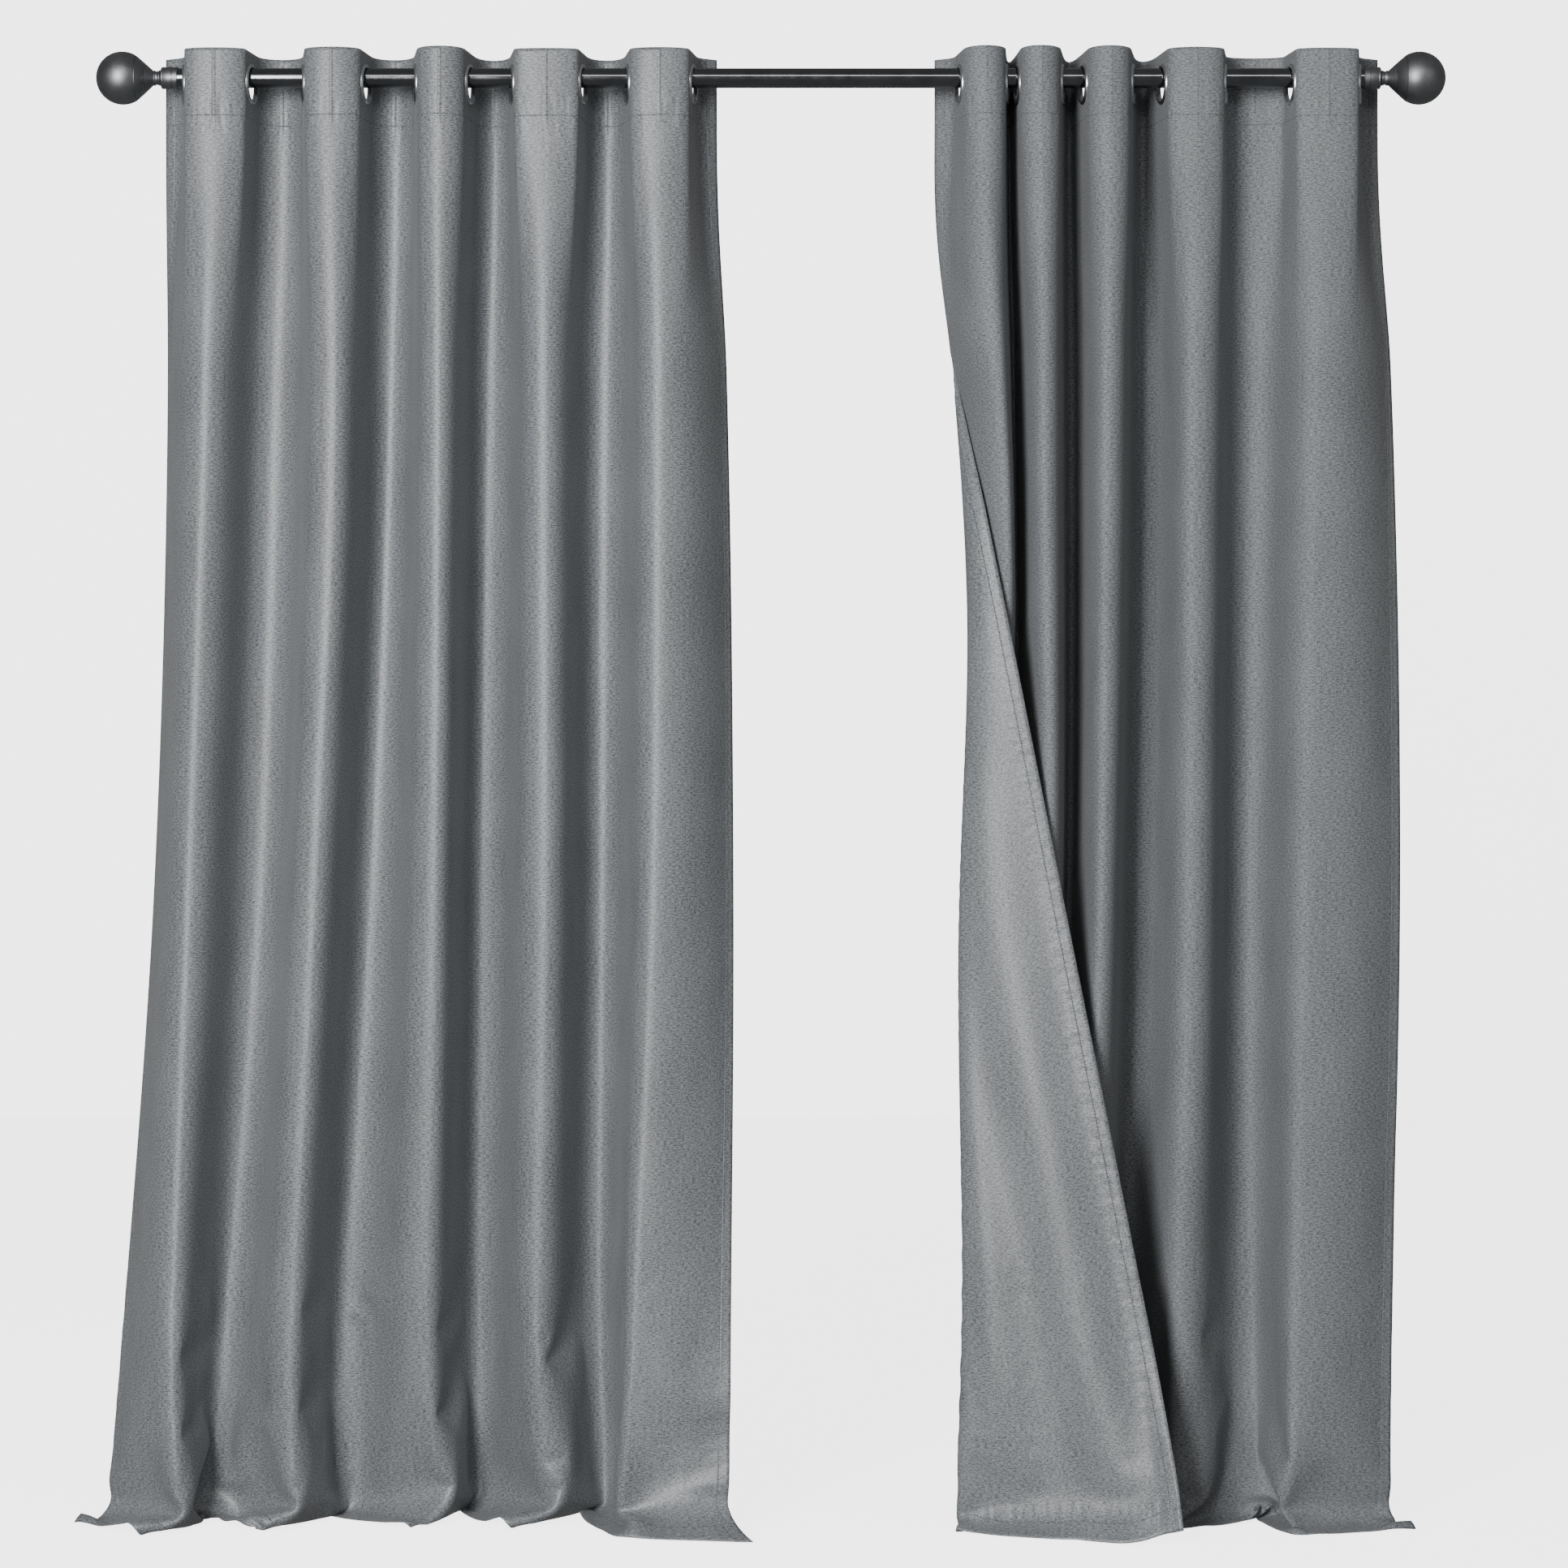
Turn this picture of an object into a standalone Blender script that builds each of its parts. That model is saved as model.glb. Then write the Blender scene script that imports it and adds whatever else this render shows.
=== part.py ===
"""Window curtains on a rod: two eyelet panels, a rod with ball finials and its wall brackets.

Metres, +Z up. The origin is on the wall, halfway between the two wall plates and level with
the rod's axis. X runs along the rod, +Y points into the wall and -Y is the room.
Places along the rod are distances from the inner end of the nearer finial's collar.
"""

import math

import bmesh
import bpy
from mathutils import Vector

CLEARANCE = 0.0003          # left between pieces that touch or fit

# Rod, as one tube
ROD_RADIUS = 0.012
ROD_TUBE_WALL = 0.0010
COLLAR_TO_MIDDLE = 0.7239   # from a collar's inner end to the rod's middle
ROD_STANDOFF = 0.105        # rod axis to wall
ROD_HEIGHT = 1.765          # rod axis above the floor

# Finials
COLLAR_DEPTH = 0.018        # how far the rod goes into the collar
COLLAR_LENGTH = 0.0208
COLLAR_WALL = 0.0011
NECK_RADIUS = 0.0084
NECK_REACH = 0.0089         # from the collar's shoulder to the narrowest part of the neck
CONE_LENGTH = 0.0208
CONE_RADIUS = 0.0272
BALL_RADIUS = 0.0322
STUD_RADIUS = 0.0030
BALL_WALL = 0.0015
BALL_BASE = 0.008          # thickness of the ball's base, which the stud screws into
PLUG_LENGTH = 0.020

# Eyelets
EYELET_BORE = 0.020
EYELET_LIP = 0.0024         # bore to the crown of the ring
EYELET_FLANGE = 0.005       # bore to the ring's edge
EYELET_BARREL = 0.002       # bore to the bottom of the groove that grips the cloth
EYELET_HALF_CROWN = 0.0032
EYELET_HALF_BORE = 0.0026
MOST_TILT = 0.15            # sine of the angle between a ring and a plane square to the rod
TILT_PER_METRE = 4.8        # how much of that a pair of rings takes for each metre between them

# Cloth
CLOTH = 0.0012
HEADER_ABOVE_AXIS = 0.031
HEADER_BELOW_RING = 0.012
FOLD_DEPTH = 0.057          # rod axis to a fold's front or back at the header
HEM_FOLD_DEPTH = 0.052
OUTER_EDGE = 0.018          # outermost eyelet to the panel's outer edge, along the rod
INNER_EDGE = 0.0286
FLAT_BESIDE_RING = 0.002
TURN_STEPS = 3

# Distances from the collar: eyelets from the outer one inwards, and where the hem's folds turn
LEFT_EYELETS = (0.0079, 0.0892, 0.1536, 0.2289, 0.2903, 0.3557, 0.4083, 0.4935, 0.5490, 0.6283)
LEFT_HEM = (-0.068, -0.009, 0.060, 0.137, 0.204, 0.295, 0.368, 0.437, 0.525, 0.556, 0.675)
RIGHT_EYELETS = (0.0060, 0.0892, 0.1694, 0.2457, 0.2824, 0.3419, 0.3686, 0.4221, 0.4370, 0.4935)
RIGHT_HEM = (-0.030, 0.089, 0.125, 0.238, 0.277, 0.337, 0.367, 0.406, 0.436, 0.461, 0.4925)

# The right panel's leading edge, turned back over its front
FLAP_DROP = 0.344           # rod axis to the top of the flap
FLAP_TOP = (0.456, 0.492)   # distances from the collar
FLAP_HEM = (0.227, 0.497)
FLAP_HEM_DEPTH = 0.142      # rod axis to the flap at the floor, towards the room

# Brackets
CRADLE_WALL = 0.0035
CRADLE_LIP = math.radians(5)
ARM_FOOT = math.radians(-45)
ARM_HEIGHT = 0.008
ARM_WIDTH = 0.012
PLATE_THICKNESS = 0.004
PLATE_WIDTH = 0.034
PLATE_HEIGHT = 0.076
PLATE_SCREW_SPACING = 0.052
PLATE_BEVEL = 0.0008
SCREW_RADIUS = 0.0020
SCREW_HEAD_RADIUS = 0.0043
SCREW_HEAD_HEIGHT = 0.0026
SCREW_HEAD_FLAT = 0.003     # radius of the flat on top of the head
SCREW_HEAD_EDGE = 0.001     # height that the head's rounded edge takes
SCREW_POINT = 0.004
SCREW_IN_WALL = 0.028
SET_HEAD_RADIUS = 0.005
SET_HEAD_HEIGHT = 0.005

FINE_STEPS = 24
RING_STEPS = 16
SMALL_STEPS = 12
SMOOTH_ANGLE = math.radians(35)

# Sizes that follow from the ones above
AXIS_Y = -ROD_STANDOFF
FLOOR_Z = -ROD_HEIGHT
ROD_HALF_LENGTH = COLLAR_TO_MIDDLE + COLLAR_DEPTH
NECK_BORE = ROD_RADIUS + CLEARANCE
COLLAR_RADIUS = NECK_BORE + COLLAR_WALL
STUD_BORE = STUD_RADIUS + CLEARANCE
NECK_AT = COLLAR_LENGTH + NECK_REACH
SEAM_AT = NECK_AT + CONE_LENGTH
RING_RADIUS = EYELET_BORE + EYELET_FLANGE
RING_HANG = EYELET_BORE - ROD_RADIUS - CLEARANCE
RING_GROOVE = CLOTH / 2 + CLEARANCE
CLOTH_HOLE = EYELET_BORE + EYELET_BARREL + CLEARANCE
HEADER_BOTTOM = -(RING_HANG + RING_RADIUS + HEADER_BELOW_RING)
WALL_FLAT = RING_RADIUS + FLAT_BESIDE_RING
PLEAT_SEAM = CLOTH / 2
CRADLE_BORE = ROD_RADIUS + CLEARANCE
CRADLE_RADIUS = CRADLE_BORE + CRADLE_WALL
ARM_BOTTOM = CRADLE_RADIUS * math.sin(ARM_FOOT)
ARM_TOP = ARM_BOTTOM + ARM_HEIGHT
PLATE_MIDDLE_Z = (ARM_BOTTOM + ARM_TOP) / 2
SCREW_HOLE = SCREW_RADIUS + CLEARANCE


def clear_scene():
    for old in list(bpy.data.objects):
        bpy.data.objects.remove(old, do_unlink=True)


def collection(name):
    made = bpy.data.collections.new(name)
    bpy.context.scene.collection.children.link(made)
    return made


def material(name, colour, roughness, metallic):
    made = bpy.data.materials.new(name)
    made.use_nodes = True
    shader = made.node_tree.nodes["Principled BSDF"]
    shader.inputs["Base Color"].default_value = (*colour, 1)
    shader.inputs["Roughness"].default_value = roughness
    shader.inputs["Metallic"].default_value = metallic
    return made


clear_scene()
PARTS = collection("window_curtains")
CUTTERS = collection("cutters")
GUNMETAL = material("gunmetal", (0.033, 0.036, 0.040), 0.28, 0.9)
PEWTER = material("pewter", (0.40, 0.41, 0.42), 0.30, 1.0)
ZINC = material("zinc", (0.55, 0.56, 0.58), 0.35, 1.0)
GREY_CLOTH = material("grey_cloth", (0.155, 0.165, 0.175), 0.75, 0.0)


def add_object(name, mesh, finish, group=PARTS):
    made = bpy.data.objects.new(name, mesh)
    group.objects.link(made)
    if finish:
        mesh.materials.append(finish)
        mesh.shade_smooth()
        mesh.set_sharp_from_angle(angle=SMOOTH_ANGLE)
    return made


def hide_cutter(cutter):
    cutter.hide_render = True
    cutter.display_type = "WIRE"


def turned(name, profile, steps, finish, closed=False):
    """A profile of (radius, height) points, from the top down its outer side, turned about Z."""
    mesh = bpy.data.meshes.new(name)
    points = [(radius, 0, height) for radius, height in profile]
    edges = [(i, i + 1) for i in range(len(points) - 1)]
    if closed:
        edges.append((len(points) - 1, 0))
    mesh.from_pydata(points, edges, [])
    made = add_object(name, mesh, finish)
    screw = made.modifiers.new("turn", "SCREW")
    screw.steps = screw.render_steps = steps
    screw.use_merge_vertices = True
    screw.merge_threshold = 0.00001
    screw.use_smooth_shade = True
    return made


def point_along_x(made, side):
    """Turns a piece made along +Z to point along X, to the left for side -1."""
    made.rotation_euler = (0, side * math.pi / 2, 0)


def cylinder_cutter(name, radius, length, place, rotation, steps=FINE_STEPS):
    mesh = bpy.data.meshes.new(name)
    shape = bmesh.new()
    bmesh.ops.create_cone(
        shape, cap_ends=True, segments=steps, radius1=radius, radius2=radius, depth=length
    )
    shape.to_mesh(mesh)
    shape.free()
    cutter = add_object(name, mesh, None, CUTTERS)
    cutter.location = place
    cutter.rotation_euler = rotation
    hide_cutter(cutter)
    return cutter


def block(name, size, place, finish, group=PARTS):
    mesh = bpy.data.meshes.new(name)
    shape = bmesh.new()
    bmesh.ops.create_cube(shape, size=1)
    bmesh.ops.scale(shape, vec=size, verts=shape.verts)
    shape.to_mesh(mesh)
    shape.free()
    made = add_object(name, mesh, finish, group)
    made.location = place
    return made


def cut(made, cutter):
    boolean = made.modifiers.new("cut_" + cutter.name, "BOOLEAN")
    boolean.operation = "DIFFERENCE"
    boolean.object = cutter


def arc(centre, radius, start, end, steps):
    """Points on a circle, from one angle to another."""
    angles = [start + (end - start) * i / steps for i in range(steps + 1)]
    return [(centre[0] + radius * math.cos(a), centre[1] + radius * math.sin(a)) for a in angles]


# ---- Rod and finials ----------------------------------------------------------------------


def rod_tube():
    inner = ROD_RADIUS - ROD_TUBE_WALL
    half = ROD_HALF_LENGTH
    profile = [(ROD_RADIUS, half), (ROD_RADIUS, -half), (inner, -half), (inner, half)]
    tube = turned("rod_tube", profile, FINE_STEPS, GUNMETAL, closed=True)
    tube.location = (0, AXIS_Y, 0)
    point_along_x(tube, 1)


def ball_shell_profile(seat):
    """A thin ball with a thick base at the seat, whose bore takes the stud."""
    rise = math.acos(CONE_RADIUS / BALL_RADIUS)
    centre = seat + BALL_RADIUS * math.sin(rise)
    base_top = seat + BALL_BASE
    inner_radius = BALL_RADIUS - BALL_WALL
    inner_start = math.asin((base_top - centre) / inner_radius)
    outer = arc((0, centre), BALL_RADIUS, math.pi / 2, -rise, 9)
    inner = arc((0, centre), inner_radius, inner_start, math.pi / 2, 6)
    outer[0] = (0, centre + BALL_RADIUS)
    inner[-1] = (0, centre + inner_radius)
    return outer + [(STUD_BORE, seat), (STUD_BORE, base_top)] + inner


def finial(side_name, side):
    """Ball, neck and end plug, made along +Z from the collar's inner end."""
    neck_profile = [
        (CONE_RADIUS, SEAM_AT),
        (NECK_RADIUS, NECK_AT),
        (NECK_RADIUS + 0.0010, NECK_AT - 0.0020),
        (COLLAR_RADIUS, COLLAR_LENGTH),
        (COLLAR_RADIUS, 0),
        (NECK_BORE, 0),
        (NECK_BORE, COLLAR_DEPTH + CLEARANCE),
        (STUD_BORE, COLLAR_DEPTH + CLEARANCE),
        (STUD_BORE, SEAM_AT),
    ]
    seat = SEAM_AT + CLEARANCE
    stud_end = seat + BALL_BASE
    ball_profile = ball_shell_profile(seat)
    plug_radius = ROD_RADIUS - ROD_TUBE_WALL - CLEARANCE
    plug_profile = [
        (0, stud_end),
        (STUD_RADIUS, stud_end),
        (STUD_RADIUS, COLLAR_DEPTH),
        (plug_radius, COLLAR_DEPTH),
        (plug_radius, COLLAR_DEPTH - PLUG_LENGTH),
        (0, COLLAR_DEPTH - PLUG_LENGTH),
    ]
    pieces = [
        turned("finial_neck_" + side_name, neck_profile, FINE_STEPS, GUNMETAL, closed=True),
        turned("finial_ball_" + side_name, ball_profile, FINE_STEPS, GUNMETAL),
        turned("end_plug_" + side_name, plug_profile, SMALL_STEPS, ZINC),
    ]
    for piece in pieces:
        piece.location = (side * COLLAR_TO_MIDDLE, AXIS_Y, 0)
        point_along_x(piece, side)


# ---- Brackets -----------------------------------------------------------------------------


def bracket_arm(name, x, hole):
    """An open cradle under the rod and a bar to the wall, cut from one thick strip."""
    foot_y = -CLEARANCE
    back = math.asin(ARM_TOP / CRADLE_RADIUS)
    outline = arc((AXIS_Y, 0), CRADLE_RADIUS, math.pi - CRADLE_LIP, 2 * math.pi + ARM_FOOT, 10)
    outline += [(foot_y, ARM_BOTTOM), (foot_y, ARM_TOP)]
    outline += arc((AXIS_Y, 0), CRADLE_RADIUS, back, CRADLE_LIP, 2)
    outline += arc((AXIS_Y, 0), CRADLE_BORE, CRADLE_LIP, -math.pi - CRADLE_LIP, 12)
    curve = bpy.data.curves.new(name + "_outline", "CURVE")
    curve.dimensions = "2D"
    curve.fill_mode = "BOTH"
    curve.extrude = ARM_WIDTH / 2
    spline = curve.splines.new("POLY")
    spline.points.add(len(outline) - 1)
    for point, (y, z) in zip(spline.points, outline):
        point.co = (y, z, 0, 1)
    spline.use_cyclic_u = True
    drawn = bpy.data.objects.new(name + "_outline", curve)
    PARTS.objects.link(drawn)
    drawn.location = (x, 0, 0)
    drawn.rotation_euler = (math.pi / 2, 0, math.pi / 2)
    arm = mesh_from_curve(name, drawn, GUNMETAL)
    cut(arm, hole)


def mesh_from_curve(name, drawn, finish):
    bpy.context.view_layer.update()
    graph = bpy.context.evaluated_depsgraph_get()
    mesh = bpy.data.meshes.new_from_object(drawn.evaluated_get(graph))
    shape = bmesh.new()
    shape.from_mesh(mesh)
    bmesh.ops.remove_doubles(shape, verts=shape.verts, dist=0.00001)
    bmesh.ops.recalc_face_normals(shape, faces=shape.faces)
    shape.to_mesh(mesh)
    shape.free()
    made = add_object(name, mesh, finish)
    made.matrix_world = drawn.matrix_world
    bpy.data.objects.remove(drawn, do_unlink=True)
    return made


def wall_plate(name, x, screw_heights):
    plate = block(
        name,
        (PLATE_WIDTH, PLATE_THICKNESS, PLATE_HEIGHT),
        (x, -PLATE_THICKNESS / 2, PLATE_MIDDLE_Z),
        GUNMETAL,
    )
    bevel = plate.modifiers.new("edges", "BEVEL")
    bevel.width = PLATE_BEVEL
    bevel.segments = 2
    slot = block(
        name + "_slot",
        (ARM_WIDTH + 2 * CLEARANCE, 3 * PLATE_THICKNESS, ARM_HEIGHT + 2 * CLEARANCE),
        (x, -PLATE_THICKNESS / 2, PLATE_MIDDLE_Z),
        None,
        CUTTERS,
    )
    hide_cutter(slot)
    cut(plate, slot)
    for height in screw_heights:
        cut(plate, cylinder_cutter(
            name + "_hole", SCREW_HOLE, 4 * PLATE_THICKNESS,
            (x, 0, height), (math.pi / 2, 0, 0), SMALL_STEPS,
        ))


def wall_screw(name, x, height):
    """Made along +Z, head up, then turned so that the head faces the room."""
    head = CLEARANCE + SCREW_HEAD_HEIGHT
    profile = [
        (0, head),
        (SCREW_HEAD_FLAT, head),
        (SCREW_HEAD_RADIUS, head - SCREW_HEAD_EDGE),
        (SCREW_HEAD_RADIUS, CLEARANCE),
        (SCREW_RADIUS, CLEARANCE),
        (SCREW_RADIUS, SCREW_POINT - PLATE_THICKNESS - SCREW_IN_WALL),
        (0, -PLATE_THICKNESS - SCREW_IN_WALL),
    ]
    screw = turned(name, profile, SMALL_STEPS, ZINC)
    screw.location = (x, -PLATE_THICKNESS, height)
    screw.rotation_euler = (math.pi / 2, 0, 0)


def set_screw(name, x):
    """A thumb screw from below, up through the cradle to the rod."""
    head_top = -CRADLE_RADIUS - CLEARANCE
    profile = [
        (0, -ROD_RADIUS - CLEARANCE),
        (SCREW_RADIUS, -ROD_RADIUS - CLEARANCE),
        (SCREW_RADIUS, head_top),
        (SET_HEAD_RADIUS, head_top),
        (SET_HEAD_RADIUS, head_top - SET_HEAD_HEIGHT),
        (0, head_top - SET_HEAD_HEIGHT),
    ]
    screw = turned(name, profile, SMALL_STEPS, ZINC)
    screw.location = (x, AXIS_Y, 0)


def bracket(side_name, side, eyelets):
    """Stands in the fold between the two outermost eyelets."""
    x = side * (COLLAR_TO_MIDDLE - (eyelets[0] + eyelets[1]) / 2)
    half = PLATE_SCREW_SPACING / 2
    heights = {"upper": PLATE_MIDDLE_Z + half, "lower": PLATE_MIDDLE_Z - half}
    hole = cylinder_cutter(
        "set_hole_" + side_name, SCREW_HOLE, 2 * CRADLE_WALL,
        (x, AXIS_Y, -CRADLE_BORE - CRADLE_WALL / 2), (0, 0, 0), SMALL_STEPS,
    )
    bracket_arm("bracket_arm_" + side_name, x, hole)
    wall_plate("wall_plate_" + side_name, x, heights.values())
    for level, height in heights.items():
        wall_screw(f"wall_screw_{side_name}_{level}", x, height)
    set_screw("set_screw_" + side_name, x)


# ---- Curtain panels -----------------------------------------------------------------------


def ring_tilt(eyelets, i):
    """Sine of ring i's tilt: rings that hang close together stand nearly parallel."""
    gaps = [b - a for a, b in zip(eyelets, eyelets[1:])]
    return min(MOST_TILT, TILT_PER_METRE * min(gaps[max(i - 1, 0):i + 1]))


def eyelet_ring(name):
    """A pressed ring: two domed faces and, between them, the groove that holds the cloth."""
    crown = EYELET_BORE + EYELET_LIP
    half = [
        (RING_RADIUS, RING_GROOVE),
        (EYELET_BORE + EYELET_BARREL, RING_GROOVE),
        (EYELET_BORE + EYELET_BARREL, -RING_GROOVE),
        (RING_RADIUS, -RING_GROOVE),
        (crown, -EYELET_HALF_CROWN),
        (EYELET_BORE, -EYELET_HALF_BORE),
        (EYELET_BORE, EYELET_HALF_BORE),
        (crown, EYELET_HALF_CROWN),
    ]
    across_flats = 1 / math.cos(math.pi / RING_STEPS)
    profile = [(r * across_flats if r == EYELET_BORE else r, z) for r, z in half]
    return turned(name, profile, RING_STEPS, PEWTER, closed=True)


def half_fold(tilt, turn, depth):
    """Plan points from an eyelet at (0, 0) to where the cloth turns round at (turn, depth).

    The wall beside the ring is flat, and a quarter turn follows it. depth is negative
    towards the room, and tilt is the wall's sideways lean for each metre of depth.
    """
    flat = math.copysign(WALL_FLAT / math.hypot(1, tilt), depth)
    start = Vector((tilt * flat, flat))
    corner = Vector((tilt * depth, depth))
    end = Vector((turn, depth))
    points = [start]
    for i in range(1, TURN_STEPS + 1):
        t = i / TURN_STEPS
        points.append(start.lerp(corner, t).lerp(corner.lerp(end, t), t))
    return points


def strip_plan(before, middle, after, tilt, front, depth):
    """One pleat seen from above, from the turn before its eyelet to the turn after it."""
    depth_after = -depth if front else depth
    lean = math.copysign(tilt, depth_after)
    first = half_fold(lean, before + PLEAT_SEAM - middle, -depth_after)
    second = half_fold(lean, after - PLEAT_SEAM - middle, depth_after)
    return [point + Vector((middle, 0)) for point in first[::-1] + second]


def below_header(height):
    """How far down from the header's plan to the hem's a height lies, from 0 to 1."""
    return max(0, (HEADER_BOTTOM - height) / (HEADER_BOTTOM - FLOOR_Z))


def pleat(name, side, station, header, hem, hole):
    """One strip of the panel, from the header's plan down to the hem's."""
    rows = [HEADER_ABOVE_AXIS, HEADER_BOTTOM, (HEADER_BOTTOM + FLOOR_Z) / 2, FLOOR_Z]
    columns = len(header) - 1
    mesh = bpy.data.meshes.new(name)
    shape = bmesh.new()
    bmesh.ops.create_grid(shape, x_segments=columns, y_segments=len(rows) - 1, size=1)
    for vert in shape.verts:
        column = round((vert.co.x + 1) / 2 * columns)
        height = rows[round((1 - vert.co.y) / 2 * (len(rows) - 1))]
        plan = header[column].lerp(hem[column], below_header(height))
        vert.co = (side * (station - plan.x), plan.y, height)
    shape.to_mesh(mesh)
    shape.free()
    made = add_object(name, mesh, GREY_CLOTH)
    solidify = made.modifiers.new("cloth", "SOLIDIFY")
    solidify.thickness = CLOTH
    solidify.offset = 0
    solidify.use_even_offset = True
    cut(made, hole)
    return made


def panel(side_name, side, eyelets, hem_turns):
    middles = [(a + b) / 2 for a, b in zip(eyelets, eyelets[1:])]
    turns = [eyelets[0] - OUTER_EDGE, *middles, eyelets[-1] + INNER_EDGE]
    for i, station in enumerate(eyelets):
        number = f"{i + 1:02d}"
        front = i % 2 == 0
        tilt = ring_tilt(eyelets, i)
        x = side * (COLLAR_TO_MIDDLE - station)
        holder = bpy.data.objects.new(f"{side_name}_station_{number}", None)
        PARTS.objects.link(holder)
        holder.location = (x, AXIS_Y, 0)
        turn = math.asin(tilt) * (1 if front else -1) * -side
        ring = eyelet_ring(f"{side_name}_eyelet_{number}")
        ring.parent = holder
        ring.location = (0, 0, -RING_HANG)
        ring.rotation_euler = (0, math.pi / 2, turn)
        hole = cylinder_cutter(
            f"{side_name}_eyelet_hole_{number}", CLOTH_HOLE, 4 * EYELET_HALF_CROWN,
            (x, AXIS_Y, -RING_HANG), (0, math.pi / 2, turn),
        )
        slope = tilt / math.sqrt(1 - tilt * tilt)
        hem_middle = (hem_turns[i] + hem_turns[i + 1]) / 2
        header = strip_plan(turns[i], station, turns[i + 1], slope, front, FOLD_DEPTH)
        hem = strip_plan(hem_turns[i], hem_middle, hem_turns[i + 1], slope, front, HEM_FOLD_DEPTH)
        strip = pleat(f"{side_name}_pleat_{number}", side, station, header, hem, hole)
        strip.parent = holder


def turned_back_edge(name, side):
    """The leading edge lies over the panel's front, narrow at the top and wide at the hem."""
    share = below_header(-FLAP_DROP)
    depth_top = FOLD_DEPTH + (HEM_FOLD_DEPTH - FOLD_DEPTH) * share + CLOTH + CLEARANCE
    mesh = bpy.data.meshes.new(name)
    shape = bmesh.new()
    bmesh.ops.create_grid(shape, x_segments=1, y_segments=1, size=1)
    for vert in shape.verts:
        at_hem = vert.co.y < 0
        near, far = FLAP_HEM if at_hem else FLAP_TOP
        across = near if vert.co.x > 0 else far
        depth = FLAP_HEM_DEPTH if at_hem else depth_top
        height = FLOOR_Z if at_hem else -FLAP_DROP
        vert.co = (side * (COLLAR_TO_MIDDLE - across), AXIS_Y - depth, height)
    shape.to_mesh(mesh)
    shape.free()
    flap = add_object(name, mesh, GREY_CLOTH)
    solidify = flap.modifiers.new("cloth", "SOLIDIFY")
    solidify.thickness = CLOTH
    solidify.offset = 0


def main():
    rod_tube()
    for side_name, side, eyelets, hem_turns in (
        ("left", -1, LEFT_EYELETS, LEFT_HEM),
        ("right", 1, RIGHT_EYELETS, RIGHT_HEM),
    ):
        finial(side_name, side)
        bracket(side_name, side, eyelets)
        panel(side_name, side, eyelets, hem_turns)
    turned_back_edge("right_turned_back_edge", 1)


main()
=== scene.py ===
"""Looks of the window curtains on a rod: two grey eyelet panels, a black nickel rod with
ball finials, pewter eyelets and wall brackets. Metres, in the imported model's own frame."""

import math

import bmesh
import bpy
import numpy as np
from mathutils import Matrix, Vector


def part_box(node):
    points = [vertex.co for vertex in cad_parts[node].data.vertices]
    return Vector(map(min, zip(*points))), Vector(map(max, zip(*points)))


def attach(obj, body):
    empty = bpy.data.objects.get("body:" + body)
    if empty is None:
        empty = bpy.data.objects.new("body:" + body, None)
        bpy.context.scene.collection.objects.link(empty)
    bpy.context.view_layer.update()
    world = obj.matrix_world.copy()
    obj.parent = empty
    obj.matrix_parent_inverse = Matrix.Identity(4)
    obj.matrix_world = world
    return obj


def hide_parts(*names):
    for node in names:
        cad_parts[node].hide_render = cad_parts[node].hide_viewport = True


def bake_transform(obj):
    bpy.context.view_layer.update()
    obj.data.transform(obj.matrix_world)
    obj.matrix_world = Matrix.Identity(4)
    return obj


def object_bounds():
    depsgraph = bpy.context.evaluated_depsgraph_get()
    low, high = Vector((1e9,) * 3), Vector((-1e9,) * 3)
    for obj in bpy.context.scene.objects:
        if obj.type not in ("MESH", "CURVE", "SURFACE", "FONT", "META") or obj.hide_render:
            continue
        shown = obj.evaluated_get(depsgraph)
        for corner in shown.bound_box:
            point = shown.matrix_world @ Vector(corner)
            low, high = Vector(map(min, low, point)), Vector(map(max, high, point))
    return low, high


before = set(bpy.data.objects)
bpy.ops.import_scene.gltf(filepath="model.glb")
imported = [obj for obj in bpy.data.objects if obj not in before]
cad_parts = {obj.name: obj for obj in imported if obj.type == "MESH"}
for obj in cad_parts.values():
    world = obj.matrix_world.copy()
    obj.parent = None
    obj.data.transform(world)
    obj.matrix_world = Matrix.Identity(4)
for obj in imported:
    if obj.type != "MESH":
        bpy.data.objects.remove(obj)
CAD_BOX = [list(corner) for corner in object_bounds()]

# ---- Sizes ----------------------------------------------------------------------------------

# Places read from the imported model
ROD_LOW, ROD_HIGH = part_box("rod_tube")
AXIS_Y = (ROD_LOW.y + ROD_HIGH.y) / 2
ROD_RADIUS = (ROD_HIGH.z - ROD_LOW.z) / 2
FLOOR_Z = CAD_BOX[0][2]
CLOTH_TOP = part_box("left_pleat_01")[1].z
EYELETS = 10

# Cloth, as it was cut
PANEL_WIDTH = 1.321
PANEL_LENGTH = 1.829
EDGE_TO_EYELET = 0.0615
EYELET_PITCH = (PANEL_WIDTH - 2 * EDGE_TO_EYELET) / (EYELETS - 1)
CLOTH_THICKNESS = 0.0009
HEADER_DEPTH = 0.082
BOTTOM_HEM = 0.027
STITCH = 0.0036
SIDE_HEM = 0.014
CLOTH_HOLE = 0.0215
HOLE_BAND = 0.0022          # points this near a hole's rim are drawn onto it
RING_FLAT = 0.026           # cloth held flat on each side of a ring's middle
OUTER_EDGE = 0.030          # outermost eyelet to the panel's outer edge, along the rod
INNER_EDGE = 0.0286
MOST_TILT = 0.15            # sine of the angle between a ring and a plane square to the rod
TILT_PER_METRE = 4.8        # how much of that a ring takes for each metre to its neighbour

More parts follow.
